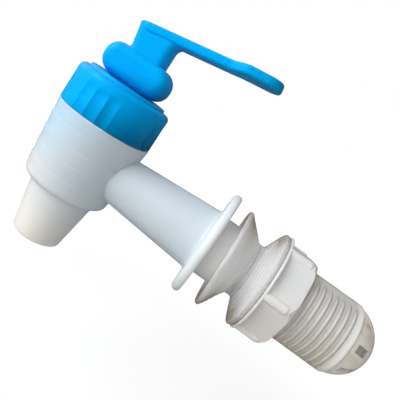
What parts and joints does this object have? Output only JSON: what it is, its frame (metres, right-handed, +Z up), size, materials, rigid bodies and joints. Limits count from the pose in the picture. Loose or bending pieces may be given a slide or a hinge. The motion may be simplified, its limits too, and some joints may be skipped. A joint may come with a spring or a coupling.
{
  "type": "lever tap",
  "caption": "Plastic lever tap for a jerrycan, with a sprung plug valve, tapered spout, cone seals, hexagon lock nut and slotted strainer.",
  "frame": {"origin": "centre of the flange's seat face, on the shank's axis", "axes": "+X along the shank into the container, +Z up the barrel to the lever, spout pointing along -Z"},
  "size_m": [0.1011, 0.029, 0.0681],
  "materials": {
    "milky_body": "satin, slightly translucent moulded plastic",
    "blue_gloss": "glossy moulded plastic",
    "stem_plastic": "smooth moulded plastic",
    "pin_steel": "drawn",
    "spring_steel": "drawn wire",
    "plug_silicone": "soft satin",
    "seal_silicone": "soft, translucent satin",
    "milky_nut": "satin, slightly translucent moulded plastic",
    "clear_strainer": "clear moulded plastic"
  },
  "bodies": {
    "body": {"tap_body": "milky_body", "bonnet_cap": "blue_gloss", "return_spring": "spring_steel", "diaphragm_plug": "plug_silicone", "outer_cone_seal": "seal_silicone", "inner_cone_seal": "seal_silicone", "strainer": "clear_strainer"},
    "stem": {"valve_stem": "stem_plastic", "pivot_pin": "pin_steel"},
    "lever": {"lever": "blue_gloss"},
    "nut": {"lock_nut": "milky_nut"}
  },
  "joints": [
    {"name": "stem_lift", "type": "slide", "parent": "body", "child": "stem", "axis": [0, 0, 1], "range_m": [0, 0.0026], "deforming": ["return_spring", "diaphragm_plug"]},
    {"name": "lever_tilt", "type": "hinge", "parent": "stem", "child": "lever", "pos_m": [-0.04, 0, 0.02495], "axis": [0, 1, 0], "range_deg": [0, 28], "stiffness_Nm_per_rad": 0.0162, "springref_deg": -66.12},
    {"name": "nut_turn", "type": "hinge", "parent": "body", "child": "nut", "pos_m": [0.02, 0, 0], "axis": [1, 0, 0], "range_deg": [0, 720]}
  ],
  "couplings": [
    {"joint": "stem_lift", "follows": "lever_tilt", "m_per_rad": 0.0052}
  ]
}
